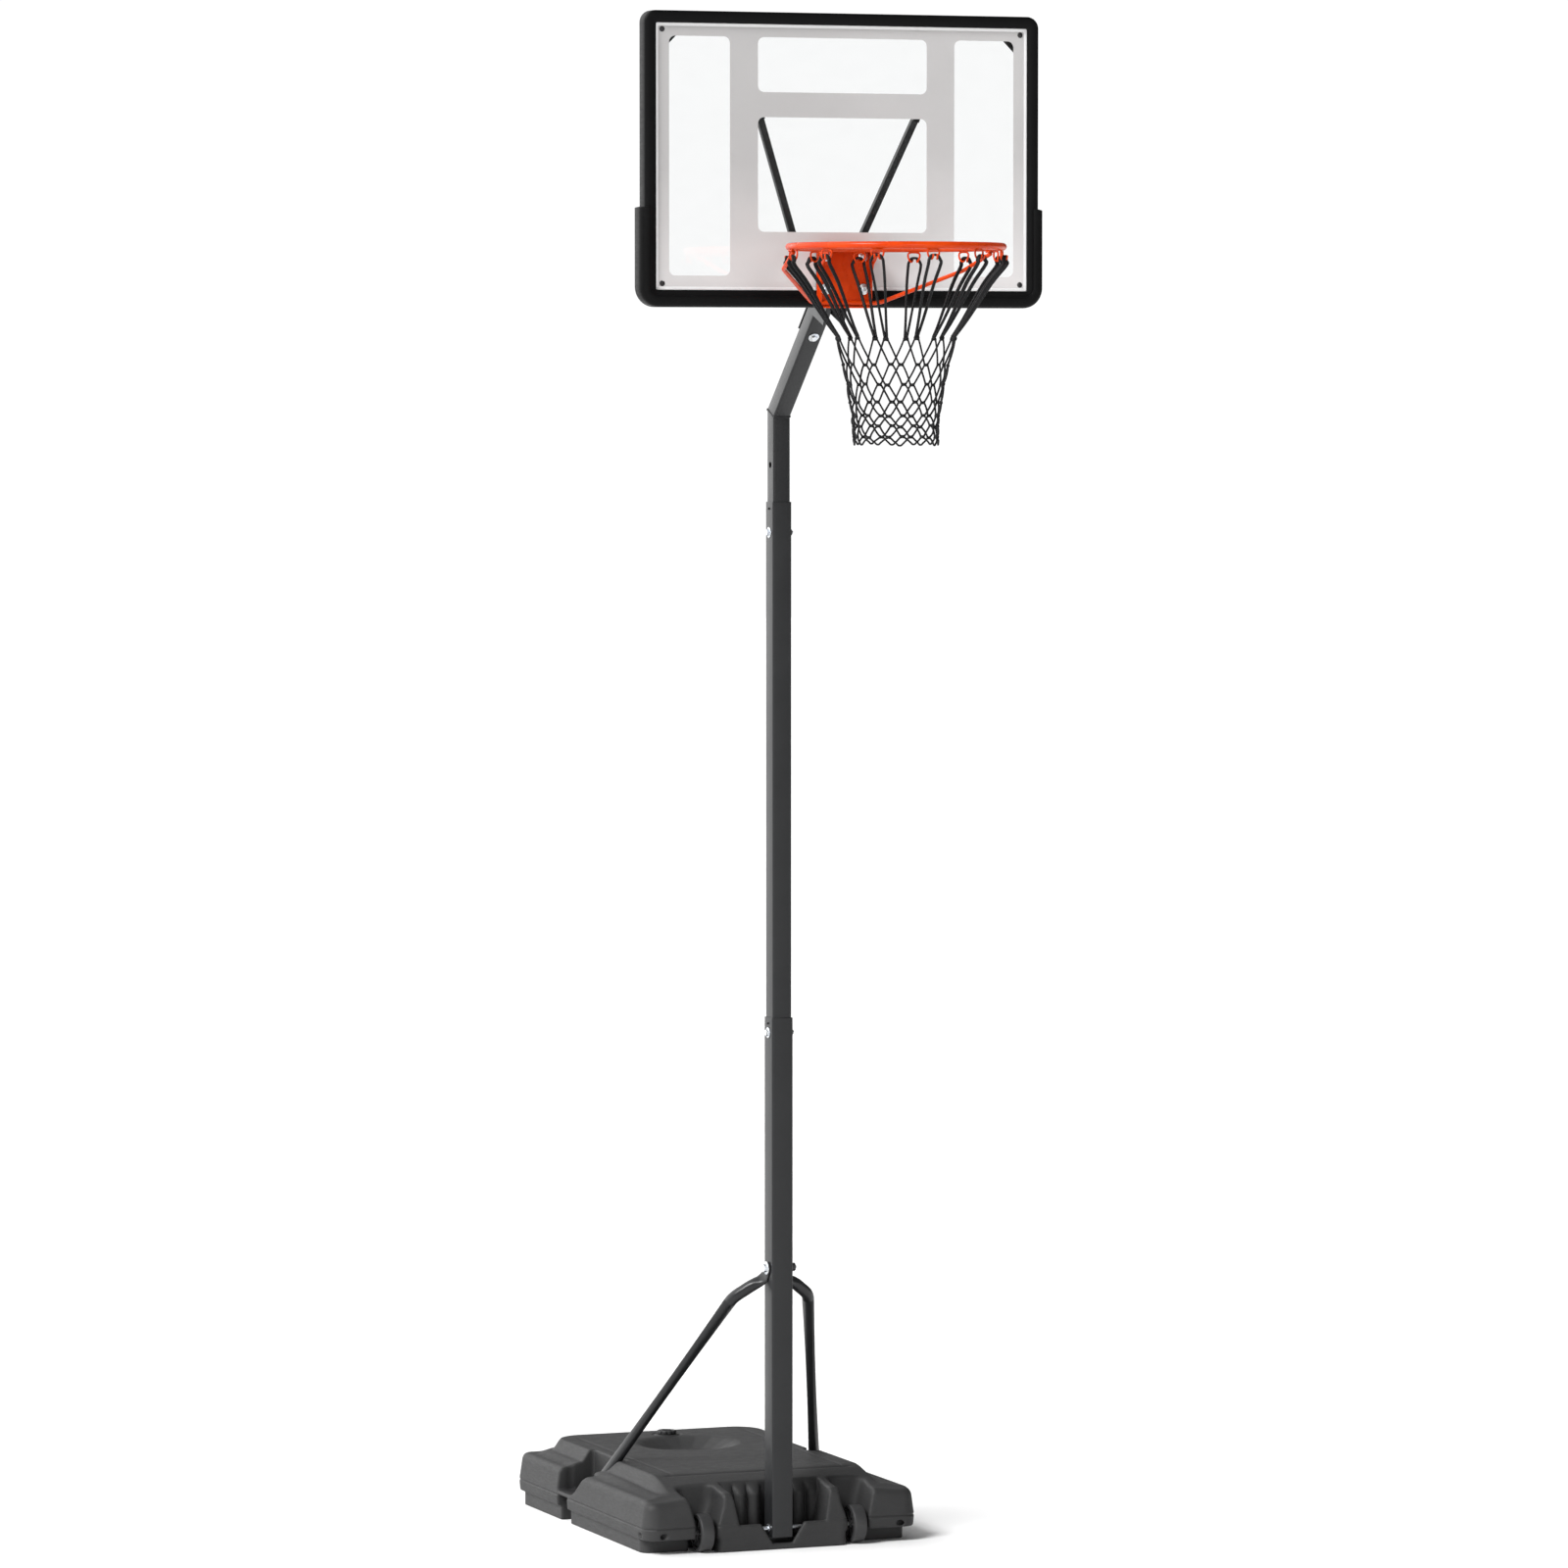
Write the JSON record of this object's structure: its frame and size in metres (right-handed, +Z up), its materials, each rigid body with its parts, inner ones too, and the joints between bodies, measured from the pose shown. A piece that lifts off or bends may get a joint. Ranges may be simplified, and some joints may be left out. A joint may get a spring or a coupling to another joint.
{
  "type": "portable basketball hoop",
  "caption": "Portable basketball hoop: clear framed backboard with rim and net on a telescoping square steel mast, braced to a wheeled, water-filled plastic base.",
  "frame": {"origin": "underside of the base directly below the mast's axis, on the floor, near the base's front edge", "axes": "+Z up along the mast, -Y towards the court, where the rim and board overhang, +X to the right of a player who faces the board's front"},
  "size_m": [0.942, 1.764, 3.401],
  "materials": {
    "tank_plastic": "matte",
    "water": "gloss",
    "cap_plastic": "matte",
    "seal_rubber": "matte",
    "wheel_plastic": "matte",
    "mast_paint": "satin",
    "black_paint": "satin",
    "zinc_steel": "satin",
    "dark_steel": "satin",
    "frame_plastic": "satin",
    "clear_panel": "gloss",
    "pad_rubber": "matte",
    "rim_paint": "gloss",
    "net_cord": "matte"
  },
  "bodies": {
    "stand": {"base_tank": "tank_plastic", "water_ballast": "water", "wheel_axle": "zinc_steel", "lower_pole": "mast_paint", "middle_pole": "mast_paint", "strut_left": "mast_paint", "strut_right": "mast_paint", "strut_pivot_bolt": "zinc_steel", "strut_pivot_nut": "dark_steel", "strut_foot_bolts": "zinc_steel", "strut_foot_nuts": "zinc_steel", "pole_joint_bolt": "zinc_steel", "pole_joint_nut": "dark_steel", "height_bolt": "zinc_steel", "height_nut": "dark_steel", "set_screws": "dark_steel"},
    "head": {"upper_pole": "mast_paint", "arm_end_plug": "cap_plastic", "head_bracket": "mast_paint", "arm_bolt": "zinc_steel", "arm_nut": "zinc_steel", "brace_bolt": "zinc_steel", "brace_nut": "zinc_steel", "brace_left": "black_paint", "brace_right": "black_paint", "brace_top_bolts": "zinc_steel", "rear_frame": "black_paint", "backboard_panel": "clear_panel", "edge_frame": "frame_plastic", "lower_trim": "frame_plastic", "corner_screws": "dark_steel", "spacer_pad": "pad_rubber", "rim_plate": "rim_paint", "rim_ring": "rim_paint", "rim_brace": "rim_paint", "net_hooks": "rim_paint", "rim_bolts": "zinc_steel", "rim_nuts": "zinc_steel", "net": "net_cord"},
    "left_wheel": {"wheel_left": "wheel_plastic"},
    "right_wheel": {"wheel_right": "wheel_plastic"},
    "seal_carrier": {"cap_seal": "seal_rubber"},
    "cap": {"fill_cap": "cap_plastic"}
  },
  "joints": [
    {"name": "height_slide", "type": "slide", "parent": "stand", "child": "head", "axis": [0, 0, 1], "range_m": [-0.15, 0.15]},
    {"name": "left_wheel_spin", "type": "hinge", "parent": "stand", "child": "left_wheel", "pos_m": [-0.183, 0, 0.044], "axis": [1, 0, 0], "continuous": true},
    {"name": "right_wheel_spin", "type": "hinge", "parent": "stand", "child": "right_wheel", "pos_m": [0.183, 0, 0.044], "axis": [1, 0, 0], "continuous": true},
    {"name": "cap_lift", "type": "slide", "parent": "stand", "child": "seal_carrier", "axis": [0, 0, 1], "range_m": [0, 0.0125]},
    {"name": "cap_turn", "type": "hinge", "parent": "seal_carrier", "child": "cap", "pos_m": [0.01, 0.738, 0.157], "axis": [0, 0, 1], "range_deg": [0, 1080]}
  ],
  "couplings": [
    {"joint": "cap_lift", "follows": "cap_turn", "m_per_rad": 0.00063662}
  ]
}
